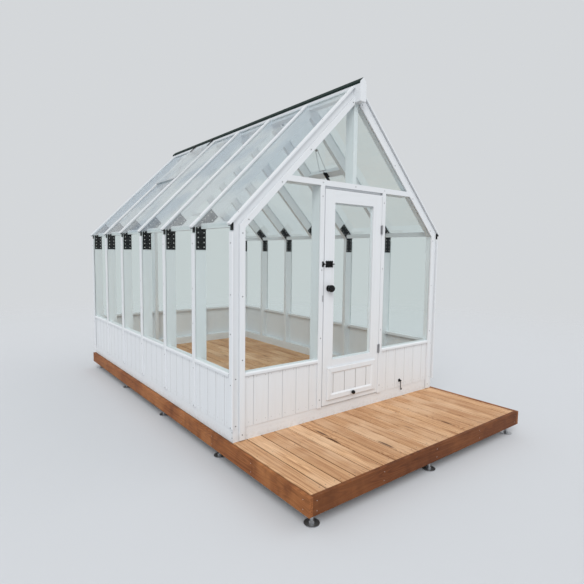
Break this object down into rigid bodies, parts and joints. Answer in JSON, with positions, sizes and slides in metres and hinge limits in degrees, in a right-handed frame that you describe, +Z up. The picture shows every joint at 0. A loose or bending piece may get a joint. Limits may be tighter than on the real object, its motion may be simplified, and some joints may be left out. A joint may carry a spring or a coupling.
{
  "type": "glass greenhouse",
  "caption": "Timber-framed glass greenhouse with a gabled roof, boarded lower walls, a hinged door with a hatch in its foot, roof vents and a raised deck that carries it.",
  "frame": {"origin": "middle of the bounding box in plan, at the ground under the deck's feet", "axes": "+Z up, +Y from the door end to the back, +X to the right seen from the front"},
  "size_m": [2.5194, 4.753, 3.1188],
  "materials": {
    "white_paint": "white paint on timber",
    "deck_timber": "oiled pine",
    "pane_glass": "clear",
    "black_metal": "satin black",
    "cap_metal": "dark green",
    "bright_steel": "satin",
    "zinc_steel": "zinc plated"
  },
  "bodies": {
    "greenhouse": {"base_ends": "white_paint", "base_sides": "white_paint", "cladding_ends": "white_paint", "cladding_sides": "white_paint", "deck_boards": "deck_timber", "deck_fascia_ends": "deck_timber", "deck_fascia_sides": "deck_timber", "deck_feet": "zinc_steel", "deck_joists": "deck_timber", "door_head": "white_paint", "door_hinge_pins": "bright_steel", "door_keep": "black_metal", "eaves_rails": "white_paint", "gable_strips": "white_paint", "gable_studs": "white_paint", "glass_ends": "pane_glass", "glass_roof": "pane_glass", "glass_sides": "pane_glass", "hook_plate": "black_metal", "king_posts": "white_paint", "knee_plates": "black_metal", "rafters_left": "white_paint", "rafters_right": "white_paint", "ridge_beam": "white_paint", "ridge_cap": "cap_metal", "ridge_end_blocks": "white_paint", "roof_bars": "white_paint", "roof_clips": "black_metal", "side_posts": "white_paint", "side_strips": "white_paint", "sills_ends": "white_paint", "sills_sides": "white_paint", "strike_plate": "bright_steel", "transom_strips": "white_paint", "transoms": "white_paint", "upright_strips": "white_paint", "vent_arms": "bright_steel", "vent_glass": "pane_glass", "vent_hinges": "black_metal", "vent_openers": "black_metal", "vent_trimmers": "white_paint", "vent_trims": "bright_steel"},
    "door": {"door_stiles": "white_paint", "door_rails": "white_paint", "door_glass": "pane_glass", "door_beads": "white_paint", "door_hinge_flaps": "bright_steel", "door_roses": "black_metal", "bolt_plate": "black_metal", "hatch_hinge": "white_paint"},
    "hatch": {"hatch": "white_paint", "hatch_knob": "black_metal"},
    "knob": {"door_knob": "black_metal"},
    "bolt": {"bolt_rod": "black_metal"},
    "hook": {"cabin_hook": "black_metal"}
  },
  "joints": [
    {"name": "door_hinge", "type": "hinge", "parent": "greenhouse", "child": "door", "pos_m": [0.353, -1.4673, 0.743], "axis": [0, 0, 1], "range_deg": [0, 165]},
    {"name": "hatch_hinge", "type": "hinge", "parent": "door", "child": "hatch", "pos_m": [0, -1.4648, 0.6523], "axis": [1, 0, 0], "range_deg": [-85, 0]},
    {"name": "knob_turn", "type": "hinge", "parent": "door", "child": "knob", "pos_m": [-0.298, -1.4615, 1.338], "axis": [0, -1, 0], "range_deg": [-60, 60], "stiffness_Nm_per_rad": 0.3},
    {"name": "bolt_slide", "type": "slide", "parent": "door", "child": "bolt", "axis": [-1, 0, 0], "range_m": [0, 0.026]},
    {"name": "hook_swing", "type": "hinge", "parent": "greenhouse", "child": "hook", "pos_m": [0.694, -1.4675, 0.375], "axis": [1, 0, 0], "range_deg": [-90, 0]}
  ]
}
